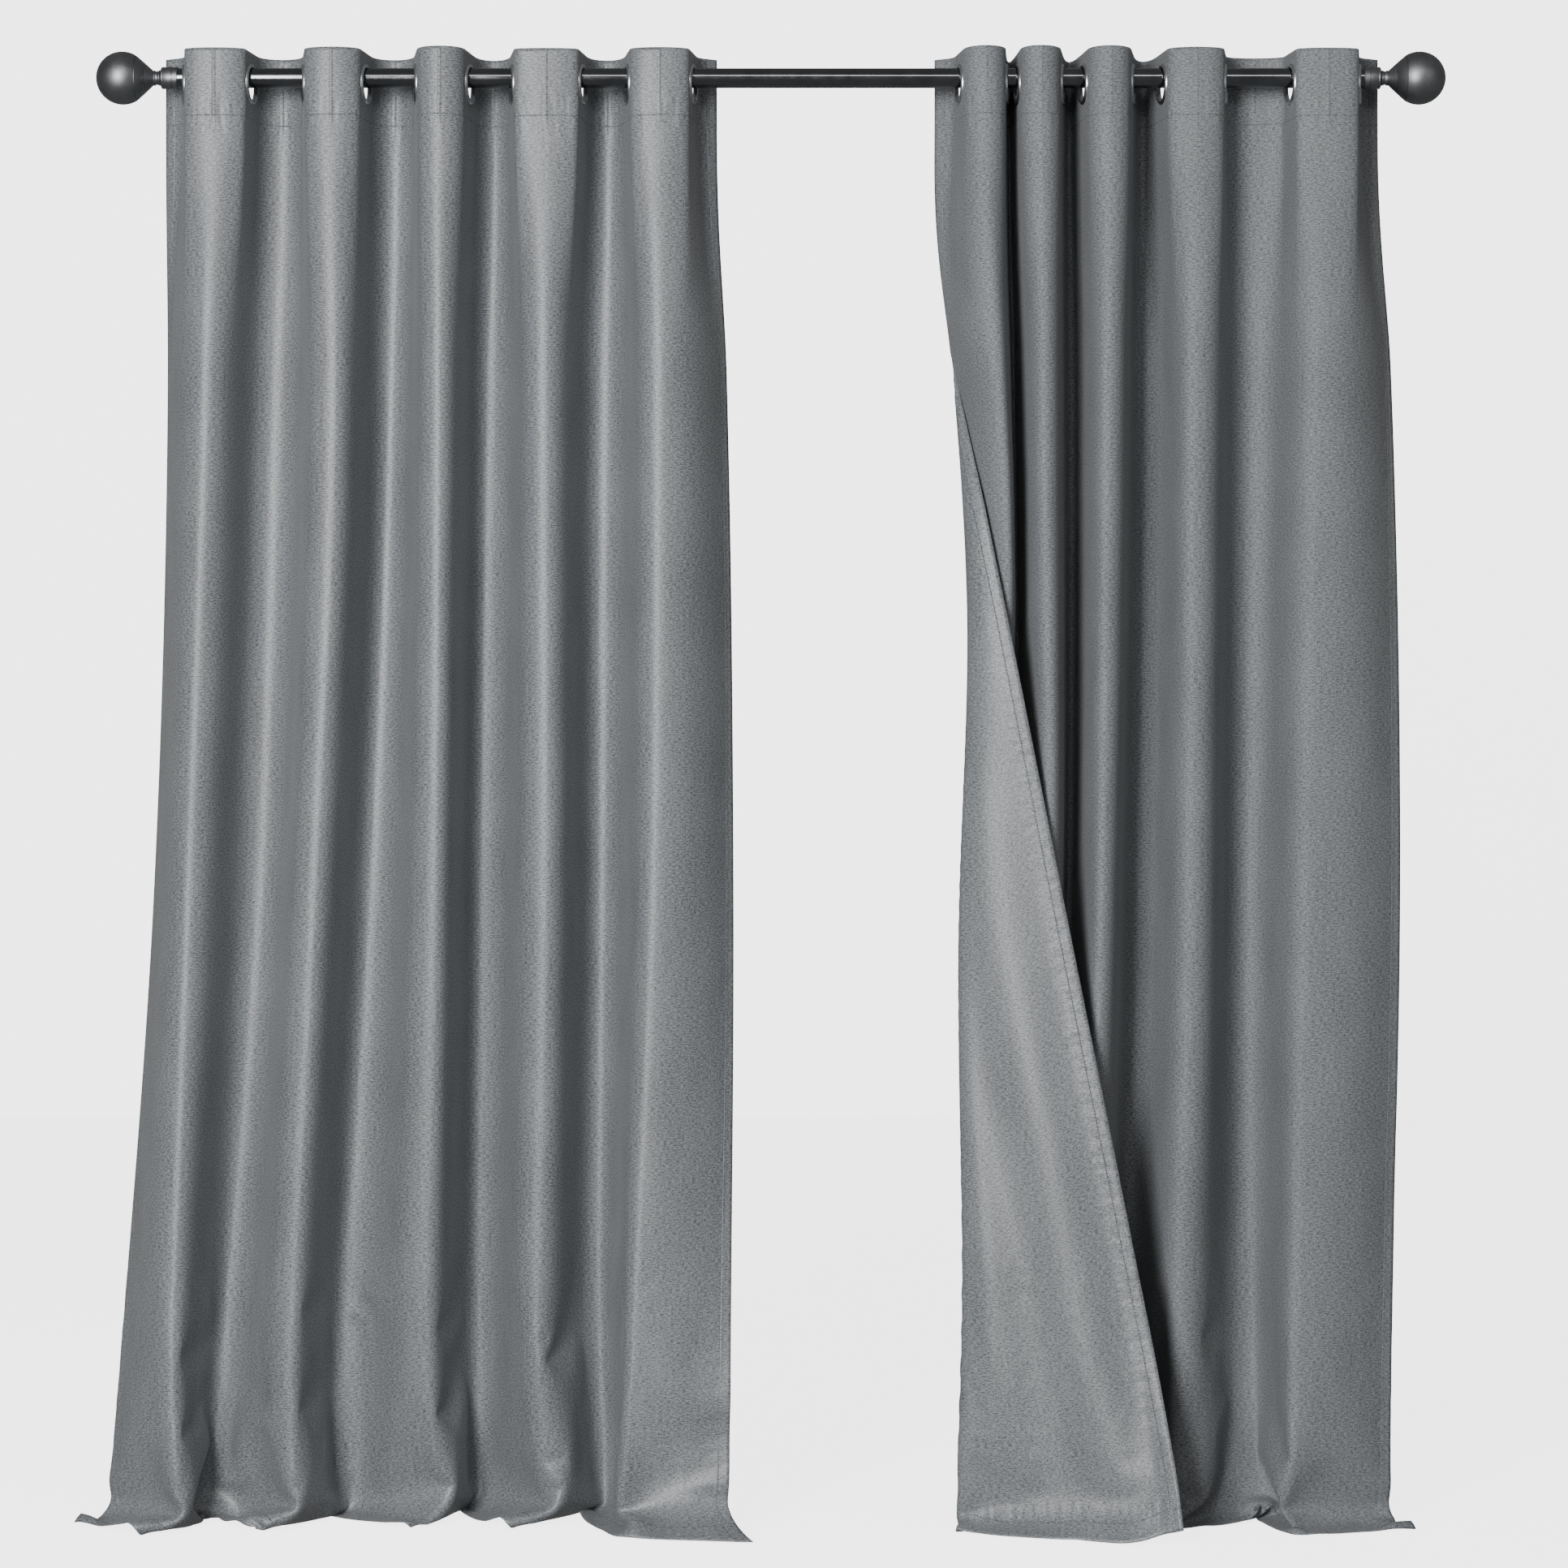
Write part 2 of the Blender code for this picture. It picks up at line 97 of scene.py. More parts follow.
# The mesh of a panel
COLUMNS = 289
FINE_ROWS = 0.0046
COARSE_ROWS = 0.012
FOOT_ROWS = 0.0047
FOOT_LENGTH = 0.42          # the part next to the floor that is simulated
FOOT_SPLAY = 0.06
EASED_LENGTH = 0.10         # where small crumples are eased out
FOOT_GAP = 0.0015
EDGE_GRIP = 0.3             # how firmly the outer edge keeps its flare
EDGE_GRIP_WIDTH = 0.03
RISE_FRAMES = 26
SETTLED_FRAME = 44
HEADER_FINE = 0.115

# Studio
KEY_POWER = 420
FILL_POWER = 14
STRIP_POWER = 60             # the long light that draws a line along the rod
ROOM_LIGHT = 0.19
WHITE_GLOW = 3.4
STAGE_SIZE = 14
BACKDROP_Y = 6.0
CAMERA_PLACE = (0.016, -5.105, -0.862)
CAMERA_LENS = 94.0
CAMERA_SENSOR = 36

# Hardware
COLLAR_TO_MIDDLE = 0.7239   # from a collar's inner end to the rod's middle
BALL_RADIUS = 0.0322
BALL_SEAM = 0.0505          # from the collar's inner end
BALL_MIDDLE = BALL_SEAM + 0.0172
COLLAR_RADIUS = 0.0134
COLLAR_CHAMFER = 0.0004
NECK_RADIUS = 0.0082
# Outlines of the finial and the rings, as (along the axis, radius) and (radius, half thickness)
COLLAR_END = ((0.0190, 0.0133), (0.0200, 0.0126), (0.0206, 0.0112), (0.0208, 0.0096),
              (0.0212, 0.0088))
CONE = ((0.0300, 0.0090), (0.0386, 0.0168), (0.0389, 0.0166), (0.0393, 0.0175))
RING_RIM = ((0.0250, 0.0004), (0.0247, 0.0013), (0.0241, 0.0024), (0.0231, 0.0031),
            (0.0221, 0.0033), (0.0211, 0.0030), (0.0203, 0.0022), (0.0200, 0.0010))

# Where the folds turn, in metres from the middle of the rod, at these heights: a panel's
# outer edge, then its crests and troughs in turn, then its inner edge
TURN_HEIGHTS = (-0.42, -1.00, -1.72)
LEFT_TURNS = (
    (0.746, 0.764, 0.811),
    (0.684, 0.705, 0.726),
    (0.613, 0.632, 0.689),
    (0.527, 0.550, 0.588),
    (0.472, 0.494, 0.546),
    (0.400, 0.404, 0.422),
    (0.351, 0.360, 0.368),
    (0.272, 0.271, 0.289),
    (0.210, 0.212, 0.215),
    (0.132, 0.139, 0.178),
    (0.053, 0.046, 0.050),
)
RIGHT_TURNS = (
    (0.765, 0.771, 0.754),
    (0.665, 0.653, 0.628),
    (0.593, 0.586, 0.597),
    (0.512, 0.510, 0.487),
    (0.464, 0.452, 0.435),
    (0.407, 0.399, 0.373),
    (0.372, 0.368, 0.340),
    (0.331, 0.337, 0.306),
    (0.300, 0.304, 0.275),
)
CREST_HANDLES = ((0.0, 0.68), (-0.50, 0.64), (-1.00, 0.60), (-1.75, 0.52))   # roundness by height
EDGE_HANDLE = 0.1
MOST_REACH = 0.12           # longest handle tried when a curve is fitted to its cloth
MOST_FOLD = 0.16            # deepest fold tried
INNER_GRIPS = (1.1, 0.75, 1.25, 0.45, 1.25)   # wide crests, narrow troughs next to the flap
LAST_CREST_HANDLE = 0.28
WALL_TURN = math.radians(85)
HOLLOW_HEIGHT = 0.22

# The right panel's leading edge, folded back over the front. The pairs are (height, distance
# from the middle) or (height, depth behind the rod)
FLAP_TOP = -0.346
FLAP_SLOPE = 0.197          # how far the free edge runs outwards for each metre down
FLAP_START = 0.223          # the free edge's distance from the middle where the flap begins
FLAP_SLACK = 1.03           # cloth in the flap for each metre of its width
FLAP_ROUNDING = 0.018       # how far the cloth swings forwards as it turns at the fold line
LEAST_ROLL = 0.010          # cloth left between the last crest and the fold line
LEAST_FOLD = 0.045          # cloth left between the last trough and the last crest
LAST_CREST = ((-0.10, 0.262), (-0.35, 0.275), (-0.55, 0.287), (-0.66, 0.288), (-0.76, 0.276),
              (-0.86, 0.254), (-0.96, 0.243), (-1.10, 0.236), (-1.50, 0.238), (-1.80, 0.232))
FOLD_LINE = ((-0.10, 0.200), (-0.35, 0.222), (-0.65, 0.238), (-1.05, 0.227), (-1.50, 0.231),
             (-1.80, 0.225))
EDGE_DEPTH = ((0.0, 0.060), (-0.20, 0.050), (-0.346, 0.022), (-0.434, -0.018), (-0.51, -0.050),
              (-0.62, -0.067), (-0.72, -0.074), (-1.00, -0.080), (-1.30, -0.098), (-1.50, -0.105),
              (-1.80, -0.124))
FOLD_LINE_DEPTH = ((-0.346, 0.022), (-0.434, -0.004), (-0.51, -0.022), (-0.62, -0.034),
                   (-0.80, -0.038), (-1.00, -0.040), (-1.80, -0.052))
BAND_DEPTH = 0.0045         # soft bands along the flap
BAND_WIDTH = 0.115

# How the foot starts out: cloth position, width, sideways and forwards at the hem
SPLAYS = {
    "left": ((0.0, 0.05, -0.042, 0.012), (0.14, 0.04, -0.008, 0.016), (0.40, 0.04, -0.008, 0.016),
             (0.67, 0.04, -0.008, 0.016), (0.93, 0.04, -0.008, 0.016), (1.20, 0.04, -0.004, 0.014),
             (1.321, 0.04, 0.045, 0.0)),
    "right": ((0.0, 0.05, 0.030, 0.012), (0.14, 0.04, -0.004, 0.014), (0.40, 0.04, -0.004, 0.014),
              (0.67, 0.04, -0.004, 0.014), (0.93, 0.04, -0.004, 0.014)),
}


def smooth(value):
    value = np.clip(value, 0, 1)
    return value * value * (3 - 2 * value)


def through(points, at):
    """A smooth curve through (height, value) points, read at heights. Level past its ends."""
    points = sorted(points)
    xs = np.array([p[0] for p in points])
    ys = np.array([p[1] for p in points])
    slopes = np.gradient(ys, xs)
    at = np.clip(at, xs[0], xs[-1])
    i = np.clip(np.searchsorted(xs, at) - 1, 0, len(xs) - 2)
    gap = xs[i + 1] - xs[i]
    t = (at - xs[i]) / gap
    h00, h10 = 2 * t**3 - 3 * t**2 + 1, t**3 - 2 * t**2 + t
    h01, h11 = -2 * t**3 + 3 * t**2, t**3 - t**2
    return h00 * ys[i] + h10 * gap * slopes[i] + h01 * ys[i + 1] + h11 * gap * slopes[i + 1]


# ---- Plan curves: (distance from the middle, depth behind the rod) along a panel's width -----


def bezier(p0, p1, p2, p3, steps=28):
    t = np.linspace(0, 1, steps)[:, None]
    p0, p1, p2, p3 = (np.array(p, float) for p in (p0, p1, p2, p3))
    return (1 - t) ** 3 * p0 + 3 * (1 - t) ** 2 * t * p1 + 3 * (1 - t) * t * t * p2 + t**3 * p3


def arc_length(points):
    return float(np.linalg.norm(np.diff(points, axis=0), axis=1).sum())


def bisect(measure, target, low, high):
    """The value between low and high at which measure, which rises, meets the target."""
    for _ in range(22):
        middle = (low + high) / 2
        if measure(middle) < target:
            low = middle
        else:
            high = middle
    return (low + high) / 2


def sample(pieces, marks, wanted):
    """Points at cloth positions wanted, each piece of the plan covering marks[i] to marks[i + 1]."""
    out = np.zeros((len(wanted), 2))
    for points, start, end in zip(pieces, marks, marks[1:]):
        inside = (wanted >= start - 1e-9) & (wanted <= end + 1e-9)
        if end - start < 1e-6 or not inside.any():
            continue
        along = np.concatenate([[0], np.cumsum(np.linalg.norm(np.diff(points, axis=0), axis=1))])
        at = (wanted[inside] - start) / (end - start) * along[-1]
        out[inside, 0] = np.interp(at, along, points[:, 0])
        out[inside, 1] = np.interp(at, along, points[:, 1])
    return out


def eyelet_mark(i):
    """Cloth position of eyelet i, counted from 0 at the outer edge; halves are fold turns."""
    return EDGE_TO_EYELET + i * EYELET_PITCH


def edge_curve(start, head, place):
    """From the flat beside an end ring to the panel's edge, which flares along the rod."""
    length = EDGE_TO_EYELET - RING_FLAT
    back = math.sqrt(length**2 - (place - start[0]) ** 2)
    end = np.array([place, start[1] + back])
    behind = np.array([0, abs(head[1])])
    return bezier(start, start + behind * length * 0.4, start + (end - start) * 0.7, end)


def ring_heads(rings):
    """The way the cloth runs through each ring, in plan."""
    gaps = [a - b for a, b in zip(rings, rings[1:])]
    heads = []
    for i in range(EYELETS):
        tilt = min(MOST_TILT, TILT_PER_METRE * min(gaps[max(i - 1, 0):i + 1]))
        heads.append(np.array([-tilt, (-1 if i % 2 == 0 else 1) * math.sqrt(1 - tilt * tilt)]))
    return heads


def header_fold(start, end, head, next_head):
    """The fold between two rings, as long as the cloth that lies between their flats."""

    def fold(reach):
        return bezier(start, start + head * reach, end - next_head * reach, end)

    arc = EYELET_PITCH - 2 * RING_FLAT
    return fold(bisect(lambda reach: arc_length(fold(reach)), arc, 0.0, MOST_REACH))


def header_plan(rings, wanted):
    """The plan at the top, where the rings hold the cloth flat and fold it to and fro."""
    heads = ring_heads(rings)
    centres = [np.array([ring, 0.0]) for ring in rings]
    outer, inner = centres[0] - heads[0] * RING_FLAT, centres[-1] + heads[-1] * RING_FLAT
    pieces = [
        edge_curve(outer, heads[0], rings[0] + OUTER_EDGE)[::-1],
        np.array([outer, centres[0] + heads[0] * RING_FLAT]),
    ]
    marks = [0, eyelet_mark(0) - RING_FLAT, eyelet_mark(0) + RING_FLAT]
    for i in range(EYELETS - 1):
        start, end = centres[i] + heads[i] * RING_FLAT, centres[i + 1] - heads[i + 1] * RING_FLAT
        pieces.append(header_fold(start, end, heads[i], heads[i + 1]))
        pieces.append(np.array([end, centres[i + 1] + heads[i + 1] * RING_FLAT]))
        marks += [eyelet_mark(i + 1) - RING_FLAT, eyelet_mark(i + 1) + RING_FLAT]
    pieces.append(edge_curve(inner, heads[-1], rings[-1] - INNER_EDGE))
    marks.append(PANEL_WIDTH)
    return sample(pieces, marks, wanted)


def fold_curve(start, end, first, last):
    """From one turn to the next, leaving and arriving square to the fold's depth."""
    step = end[0] - start[0]
    return bezier(start, (start[0] + first * step, start[1]), (end[0] - last * step, end[1]), end)


def fold_depths(places, arcs, handles):
    """Depths of the turns at these places, so that each fold takes up its length of cloth."""
    depths = [0.0]
    for i, arc in enumerate(arcs):

        def length(deep):
            return arc_length(fold_curve((places[i], 0), (places[i + 1], deep), handles[i], handles[i + 1]))

        deep = bisect(length, arc, 0.0, MOST_FOLD)
        depths.append(depths[-1] + deep * (-1 if i % 2 == 0 else 1))
    depths = np.array(depths)
    middles = (depths[:-1] + depths[1:]) / 2
    at = (np.array(places[:-1]) + np.array(places[1:])) / 2
    slope, level = np.polyfit(at, middles, 1)
    return depths - (slope * np.array(places) + level)


def folds(turned, handles):
    ends = zip(turned, turned[1:], handles, handles[1:])
    return [fold_curve(start, end, first, last) for start, end, first, last in ends]


def turn_places(tops, turns, height):
    """Where the folds turn at a height, from where they turn at the rings and lower down."""
    return [
        float(through([(0.0, top), *zip(TURN_HEIGHTS, turn)], height))
        for top, turn in zip(tops, turns)
    ]


def body_plan(rings, turns, height, wanted):
    """The plan below the header of a panel whose inner edge hangs at the back."""
    marks = [0] + [eyelet_mark(i + 0.5) for i in range(EYELETS - 1)] + [PANEL_WIDTH]
    tops = [(a + b) / 2 for a, b in zip(rings, rings[1:])]
    tops = [rings[0] + OUTER_EDGE] + tops + [rings[-1] - INNER_EDGE]
    places = turn_places(tops, turns, height)
    handle = float(through(CREST_HANDLES, height))
    handles = [EDGE_HANDLE] + [handle] * (EYELETS - 1) + [EDGE_HANDLE]
    turned = list(zip(places, fold_depths(places, np.diff(marks), handles)))
    pieces = folds(turned, handles)
    return sample(pieces, marks, wanted)


def last_wall(apex, line, gap, height):
    """The cloth from the last crest to the fold line: it meets the line from the front above
    the flap's top, and from behind, with a hollow, below it."""
    leave = apex + np.array([-LAST_CREST_HANDLE * gap, 0.0])

    def wall(turn):
        arrive = np.array([math.cos(turn), math.sin(turn)])

        def curve(reach):
            return bezier(apex, leave, line + reach * arrive, line)

        return curve(bisect(lambda reach: arc_length(curve(reach)), gap, 0.0, MOST_REACH))

    hollow = float(smooth((FLAP_TOP - height) / HOLLOW_HEIGHT + 0.6))
    return wall(-WALL_TURN) * (1 - hollow) + wall(WALL_TURN) * hollow


def flap_bands(height, wanted, mark_fold):
    """How far the flap swells forwards, in bands that run along its free edge."""
    inward = PANEL_WIDTH - wanted
    swell = BAND_DEPTH * float(smooth((-height - 0.65) / 0.7)) * smooth((wanted - mark_fold) / 0.04)
    return swell * np.cos(2 * math.pi * (inward - 0.08) / BAND_WIDTH) * smooth(inward / 0.03)


def flap_plan(rings, turns, height, wanted):
    """The plan of the right panel, whose leading edge turns back over the front lower down."""
    flap = max(0.0, (FLAP_TOP - height) * FLAP_SLOPE)
    mark_fold = PANEL_WIDTH - FLAP_SLACK * flap
    mark_crest = min(eyelet_mark(8.5), mark_fold - LEAST_ROLL)
    mark_trough = min(eyelet_mark(7.5), mark_crest - LEAST_FOLD)
    marks = [0] + [eyelet_mark(i + 0.5) for i in range(7)]
    marks += [mark_trough, mark_crest, mark_fold, PANEL_WIDTH]
    tops = [rings[0] + OUTER_EDGE] + [(a + b) / 2 for a, b in zip(rings, rings[1:])][:8]
    places = turn_places(tops, turns, height)
    fold_line = float(through(FOLD_LINE, height))
    gap = mark_fold - mark_crest
    crest = float(through([(0.0, (rings[8] + rings[9]) / 2), *LAST_CREST], height))
    handle = float(through(CREST_HANDLES, height))
    handles = [EDGE_HANDLE] + [handle] * 4 + [handle * grip for grip in INNER_GRIPS]
    depths = fold_depths(places + [crest], np.diff(marks[:10]), handles)
    free = np.array([
        fold_line if flap == 0 else FLAP_START + flap,
        float(through(EDGE_DEPTH, height)),
    ])
    line_depth = float(through(FOLD_LINE_DEPTH, height)) if flap > 0 else free[1]
    line = np.array([fold_line, line_depth])
    crest_depth = depths[9] * min(1, gap / 0.1) + (line_depth + 0.01) * (1 - min(1, gap / 0.1))
    turned = list(zip(places + [crest], list(depths[:9]) + [crest_depth]))
    pieces = folds(turned, handles)
    apex = np.array(turned[-1])
    pieces.append(last_wall(apex, line, gap, height))
    forwards = line + np.array([0, -min(FLAP_ROUNDING, 0.4 * flap)])
    pieces.append(bezier(line, forwards, free + np.array([-0.5 * flap, 0.004]), free, 60))
    points = sample(pieces, marks, wanted)
    points[:, 1] -= flap_bands(height, wanted, mark_fold)
    return points


def rows_down():
    """Distances down the cloth of the mesh's rows: fine at the header and at the foot."""
    foot = PANEL_LENGTH - FOOT_LENGTH
    head = np.linspace(0, HEADER_FINE, round(HEADER_FINE / FINE_ROWS) + 1)
    middle = np.linspace(HEADER_FINE, foot, round((foot - HEADER_FINE) / COARSE_ROWS) + 1)
    last = np.linspace(foot, PANEL_LENGTH, 2 * round(FOOT_LENGTH / FOOT_ROWS / 2) + 1)
    return np.concatenate([head, middle[1:], last[1:]])


def panel_points(side, rings, turns, plan):
    """The panel hanging in its folds, before its foot meets the floor: rows by columns by xyz."""
    across = np.linspace(0, PANEL_WIDTH, COLUMNS)
    down = rows_down()
    top = header_plan(rings, across)
    points = np.zeros((len(down), COLUMNS, 3))
    for i, drop in enumerate(down):
        height = CLOTH_TOP - drop
        loose = float(smooth((-height - 0.03) / 0.32))
        flat = top
        if loose > 0:
            flat = top * (1 - loose) + plan(rings, turns, height, across) * loose
        points[i, :, 0] = side * flat[:, 0]
        points[i, :, 1] = AXIS_Y + flat[:, 1]
        points[i, :, 2] = height
    return taut(points, down), across, down


def taut(points, down):
    """Moves the points along their columns, so that each is its own length of cloth down."""
    steps = np.linalg.norm(np.diff(points, axis=0), axis=2)
    along = np.concatenate([np.zeros((1, COLUMNS)), np.cumsum(steps, axis=0)])
    out = np.zeros_like(points)
    for column in range(COLUMNS):
        for k in range(3):
            out[:, column, k] = np.interp(down, along[:, column], points[:, column, k])
    return out


def grid_faces(rows, columns):
    index = np.arange(rows * columns).reshape(rows, columns)
    corners = [index[1:, :-1], index[1:, 1:], index[:-1, 1:], index[:-1, :-1]]
    return np.stack(corners, axis=-1).reshape(-1, 4).tolist()


def panel_mesh(name, points, across, down):
    """A grid mesh with its cloth position in metres as the UV map."""
    rows, columns = points.shape[:2]
    mesh = bpy.data.meshes.new(name)
    mesh.from_pydata(points.reshape(-1, 3).tolist(), [], grid_faces(rows, columns))
    cut = np.stack(np.meshgrid(across, down), axis=-1).reshape(-1, 2)
    uv = mesh.uv_layers.new(name="cut")
    corners = np.zeros(len(mesh.loops), np.int32)
    mesh.loops.foreach_get("vertex_index", corners)
    uv.data.foreach_set("uv", cut[corners].astype(np.float32).ravel())
    mesh.polygons.foreach_set("use_smooth", np.ones(len(mesh.polygons), bool))
    mesh.update()
    made = bpy.data.objects.new(name, mesh)
    bpy.context.scene.collection.objects.link(made)
    return made


def spread(distance, width):
    return np.exp(-(distance / width) ** 2)


def splay_foot(points, across, down, marks):
    """Starts the cloth's last few centimetres outwards, so that they lie down that way."""
    left = np.clip((down[:, None] - (PANEL_LENGTH - FOOT_SPLAY)) / FOOT_SPLAY, 0, 1) ** 1.5
    for mark, width, sideways, forward in marks:
        share = left * spread(across[None, :] - mark, width)
        points[..., 0] += share * sideways
        points[..., 1] -= share * forward


def halve(coarse):
    """Twice as many rows, the new ones on a smooth curve through the old."""
    ends = np.concatenate([2 * coarse[:1] - coarse[1:2], coarse, 2 * coarse[-1:] - coarse[-2:-1]])
    between = (9 * (ends[1:-2] + ends[2:-1]) - ends[:-3] - ends[3:]) / 16
    fine = np.zeros((2 * len(coarse) - 1, *coarse.shape[1:]))
    fine[::2] = coarse
    fine[1::2] = between
    return fine


def foot_sheet(coarse, held):
    """The mesh that is simulated, each of its points held as firmly as held says, from 0 to 1."""
    rows, columns = held.shape
    mesh = bpy.data.meshes.new("foot")
    mesh.from_pydata(coarse.reshape(-1, 3).tolist(), [], grid_faces(rows, columns))
    foot = bpy.data.objects.new("foot", mesh)
    bpy.context.scene.collection.objects.link(foot)
    group = foot.vertex_groups.new(name="held")
    for number, share in enumerate(held.ravel()):
        if share > 0.01:
            group.add([number], float(share), "REPLACE")
    return foot


def rising_floor():
    """A floor that comes up under the cloth to where the real one is."""
    mesh = bpy.data.meshes.new("ground")
    shape = bmesh.new()
    bmesh.ops.create_grid(shape, x_segments=2, y_segments=2, size=1.5)
    shape.to_mesh(mesh)
    shape.free()
    ground = bpy.data.objects.new("ground", mesh)
    bpy.context.scene.collection.objects.link(ground)
    below = CLOTH_TOP - PANEL_LENGTH - 0.006
    for frame_number, height in ((1, below), (RISE_FRAMES, FLOOR_Z - FOOT_GAP)):
        ground.location.z = height
        ground.keyframe_insert("location", index=2, frame=frame_number)
    ground.modifiers.new("collision", "COLLISION")
    ground.collision.thickness_outer = 0.001
    ground.collision.cloth_friction = 12
    return ground


def simulate(foot):
    """Runs the foot as stiff cloth until it rests, and gives where its points end up."""
    cloth = foot.modifiers.new("cloth", "CLOTH")
    settings = cloth.settings
    settings.quality = 7
    settings.mass = 0.012
    settings.tension_stiffness = settings.compression_stiffness = 20
    settings.shear_stiffness = 8
    settings.bending_stiffness = 14.0
    settings.air_damping = 1.5
    settings.vertex_group_mass = "held"
    settings.pin_stiffness = 1
    cloth.collision_settings.distance_min = 0.002
    cloth.collision_settings.collision_quality = 3
    cloth.collision_settings.use_self_collision = False
    cloth.point_cache.frame_start = 1
    cloth.point_cache.frame_end = SETTLED_FRAME
    for frame_number in range(1, SETTLED_FRAME + 1):
        bpy.context.scene.frame_set(frame_number)
    settled = foot.evaluated_get(bpy.context.evaluated_depsgraph_get())
    coords = np.zeros(len(foot.data.vertices) * 3, np.float32)
    settled.data.vertices.foreach_get("co", coords)
    return coords.astype(float)


def settle_foot(points, across, down):
    """Lays the foot of a panel on the floor, by a cloth simulation of every second point."""
    first = int(np.searchsorted(down, PANEL_LENGTH - FOOT_LENGTH - 1e-6))
    lower = down[first::2]
    coarse = points[first::2, ::2]
    from_top = 1 - smooth((lower - lower[0] - 0.02) / 0.10)
    from_edge = EDGE_GRIP * spread(across[::2], EDGE_GRIP_WIDTH)
    foot = foot_sheet(coarse, np.maximum(from_top[:, None], from_edge[None, :]))
    ground = rising_floor()
    coarse = simulate(foot).reshape(coarse.shape)
    eased = (coarse[:, :-2] + 2 * coarse[:, 1:-1] + coarse[:, 2:]) / 4
    low_down = smooth((lower - (PANEL_LENGTH - EASED_LENGTH)) / 0.04)[:, None, None]
    coarse[:, 1:-1] += (eased - coarse[:, 1:-1]) * low_down
    points[first:] = halve(halve(coarse).swapaxes(0, 1)).swapaxes(0, 1)
    for made in (foot, ground):
        bpy.data.objects.remove(made, do_unlink=True)
    bpy.context.scene.frame_set(1)


def ring_middle(side_name, number):
    low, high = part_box(f"{side_name}_eyelet_{number:02d}")
    return (low + high) / 2


def open_eyelets(made, side_name, across, down, rows, columns):
    """Cuts the holes for the rings and draws each hole's rim in to a circle."""
    coords = np.array([v.co for v in made.data.vertices]).reshape(rows, columns, 3)
    shape = bmesh.new()
    shape.from_mesh(made.data)
    shape.verts.ensure_lookup_table()
    gone = []
    for number in range(1, EYELETS + 1):
        centre = ring_middle(side_name, number)
        mark = eyelet_mark(number - 1)
        level = CLOTH_TOP - centre.z
        u, v = np.meshgrid(across - mark, down - level)
        distance = np.hypot(u, v)
        for r, c in zip(*np.nonzero(distance < CLOTH_HOLE - HOLE_BAND)):
            gone.append(shape.verts[int(r * columns + c)])
        rim = (distance >= CLOTH_HOLE - HOLE_BAND) & (distance < CLOTH_HOLE + HOLE_BAND)
        for r, c in zip(*np.nonzero(rim)):
            share = CLOTH_HOLE / distance[r, c]
            vert = shape.verts[int(r * columns + c)]
            vert.co = centre + (vert.co - centre) * share
    bmesh.ops.delete(shape, geom=gone, context="VERTS")
    shape.to_mesh(made.data)
    shape.free()


def panel(side_name, side, turns, plan):
    rings = [abs(ring_middle(side_name, i + 1).x) for i in range(EYELETS)]
    points, across, down = panel_points(side, rings, turns, plan)
    splay_foot(points, across, down, SPLAYS[side_name])
    settle_foot(points, across, down)
    made = panel_mesh(side_name + "_panel", points, across, down)
    open_eyelets(made, side_name, across, down, len(down), COLUMNS)
    thick = made.modifiers.new("cloth", "SOLIDIFY")
    thick.thickness = CLOTH_THICKNESS
    thick.offset = 0
    thick.material_offset = 1
    replaced = [f"{side_name}_pleat_{i + 1:02d}" for i in range(EYELETS)]
    if side_name == "right":
        replaced.append("right_turned_back_edge")
    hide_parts(*replaced)
    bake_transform(made)
    return made


# ---- Materials ------------------------------------------------------------------------------


class Field:
    """A value that a material works out over the surface; arithmetic on it adds Math nodes."""

    def __init__(self, look, socket):
        self.look, self.socket = look, socket

    def math(self, operation, *others):
        node = self.look.tree.nodes.new("ShaderNodeMath")
        node.operation = operation
        for socket, value in zip(node.inputs, (self, *others)):
            self.look.feed(socket, value)
        return Field(self.look, node.outputs[0])

    def __add__(self, other):
        return self.math("ADD", other)

    def __sub__(self, other):
        return self.math("SUBTRACT", other)

    def __mul__(self, other):
        return self.math("MULTIPLY", other)

    def __truediv__(self, other):
        return self.math("DIVIDE", other)

    def __rsub__(self, other):
        return self * -1 + other

    __radd__ = __add__
    __rmul__ = __mul__

    def size(self):
        return self.math("ABSOLUTE")

    def least(self, other):
        return self.math("MINIMUM", other)

    def wrapped(self, period):
        return self.math("WRAP", period, 0.0)

    def ramp(self, low, high):
        """0 where this is at low and 1 where it is at high, smooth between and level beyond."""
        values = {"Value": self, "From Min": low, "From Max": high}
        node = self.look.node("MapRange", values, interpolation_type="SMOOTHSTEP")
        return Field(self.look, node.outputs[0])

    def near(self, place, width):
        """1 at place, falling to 0 at that distance from it."""
        return (self - place).size().ramp(width, 0)


